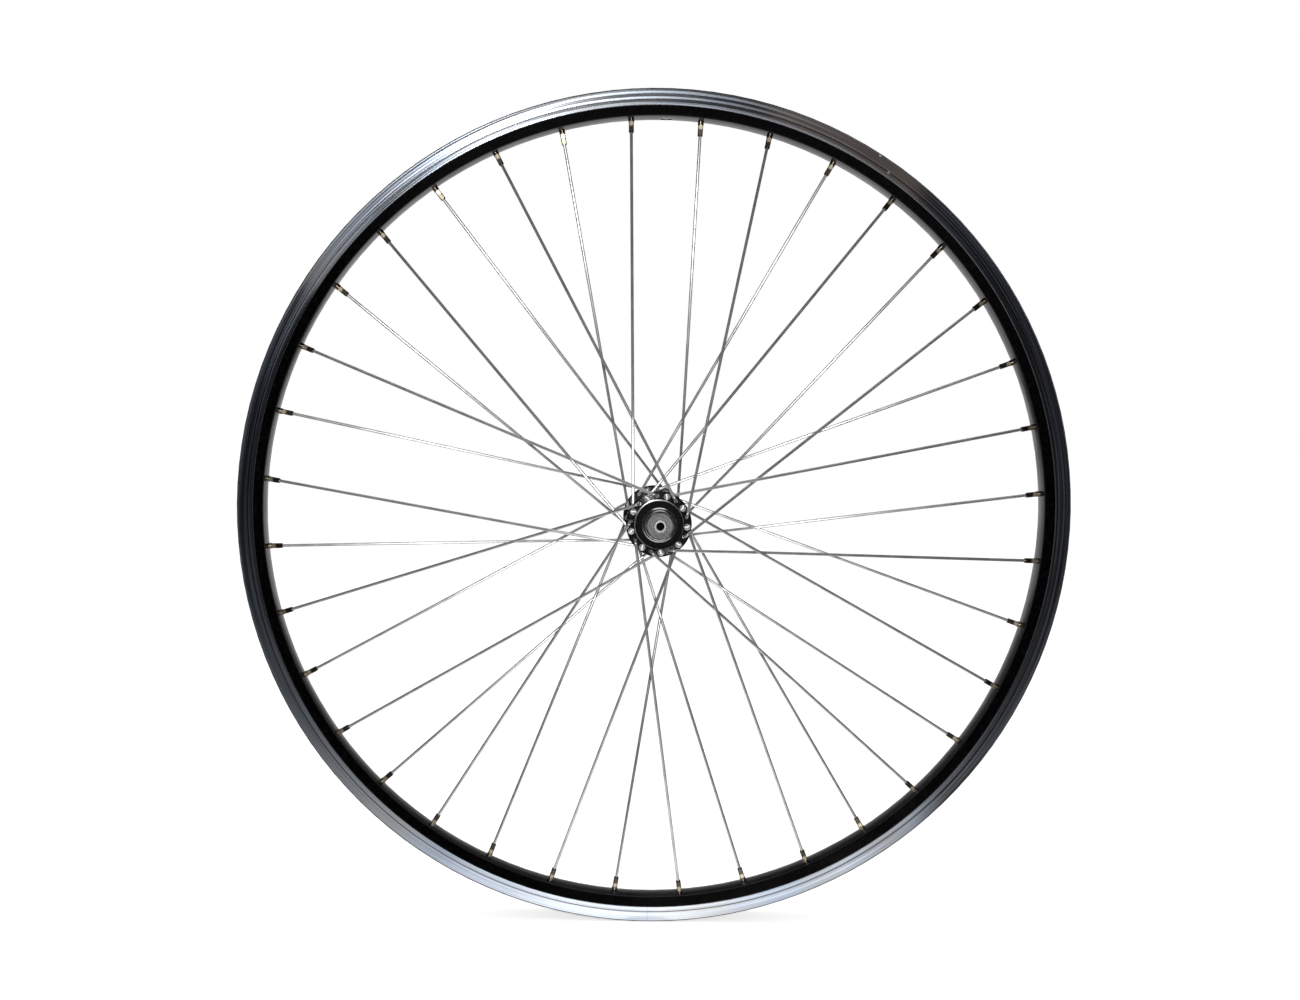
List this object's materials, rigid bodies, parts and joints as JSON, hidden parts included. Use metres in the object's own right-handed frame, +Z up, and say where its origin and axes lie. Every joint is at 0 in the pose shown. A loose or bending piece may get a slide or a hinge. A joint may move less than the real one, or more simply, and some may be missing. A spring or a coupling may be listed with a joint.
{
  "type": "bicycle wheel",
  "caption": "Bicycle front wheel without a tyre: hooked double-wall rim, crossed wire spokes with nipples, and a flanged cup-and-cone hub on a hollow axle.",
  "frame": {"origin": "centre of the wheel: on the axle's centre line, midway between the hub flanges", "axes": "+Y along the axle, about which the wheel spins; +Z up through the valve hole; left end of the axle at -Y"},
  "size_m": [0.571, 0.108, 0.571],
  "materials": {
    "rim_alloy": "black anodised, with bare machined brake tracks",
    "nipple_brass": "nickel plated",
    "spoke_steel": "drawn wire",
    "hub_alloy": "gloss black",
    "axle_steel": "bright, threaded",
    "nut_steel": "zinc plated",
    "bearing_steel": "ground and polished",
    "cap_steel": "pressed sheet",
    "seal_rubber": "matt black"
  },
  "bodies": {
    "axle_set": {"axle": "axle_steel", "left_cone": "bearing_steel", "left_lock_washer": "nut_steel", "left_locknut": "nut_steel", "left_rubber_seal": "seal_rubber", "right_cone": "bearing_steel", "right_lock_washer": "nut_steel", "right_locknut": "nut_steel", "right_rubber_seal": "seal_rubber"},
    "wheel": {"rim": "rim_alloy", "spoke_01": "spoke_steel", "spoke_02": "spoke_steel", "spoke_03": "spoke_steel", "spoke_04": "spoke_steel", "spoke_05": "spoke_steel", "spoke_06": "spoke_steel", "spoke_07": "spoke_steel", "spoke_08": "spoke_steel", "spoke_09": "spoke_steel", "spoke_10": "spoke_steel", "spoke_11": "spoke_steel", "spoke_12": "spoke_steel", "spoke_13": "spoke_steel", "spoke_14": "spoke_steel", "spoke_15": "spoke_steel", "spoke_16": "spoke_steel", "spoke_17": "spoke_steel", "spoke_18": "spoke_steel", "spoke_19": "spoke_steel", "spoke_20": "spoke_steel", "spoke_21": "spoke_steel", "spoke_22": "spoke_steel", "spoke_23": "spoke_steel", "spoke_24": "spoke_steel", "spoke_25": "spoke_steel", "spoke_26": "spoke_steel", "spoke_27": "spoke_steel", "spoke_28": "spoke_steel", "spoke_29": "spoke_steel", "spoke_30": "spoke_steel", "spoke_31": "spoke_steel", "spoke_32": "spoke_steel", "spoke_33": "spoke_steel", "spoke_34": "spoke_steel", "spoke_35": "spoke_steel", "spoke_36": "spoke_steel", "spoke_nipples": "nipple_brass", "hub_shell": "hub_alloy", "left_bearing_cup": "bearing_steel", "left_dust_cap": "cap_steel", "right_bearing_cup": "bearing_steel", "right_dust_cap": "cap_steel"},
    "left_ball_set": {"left_bearing_balls": "bearing_steel"},
    "right_ball_set": {"right_bearing_balls": "bearing_steel"}
  },
  "joints": [
    {"name": "wheel_spin", "type": "hinge", "parent": "axle_set", "child": "wheel", "pos_m": [0, 0, 0], "axis": [0, 1, 0], "continuous": true},
    {"name": "left_ball_orbit", "type": "hinge", "parent": "axle_set", "child": "left_ball_set", "pos_m": [0, -0.0365, 0], "axis": [0, 1, 0], "continuous": true},
    {"name": "right_ball_orbit", "type": "hinge", "parent": "axle_set", "child": "right_ball_set", "pos_m": [0, 0.0365, 0], "axis": [0, 1, 0], "continuous": true}
  ],
  "couplings": [
    {"joint": "left_ball_orbit", "follows": "wheel_spin", "ratio": 0.6014},
    {"joint": "right_ball_orbit", "follows": "wheel_spin", "ratio": 0.6014}
  ]
}
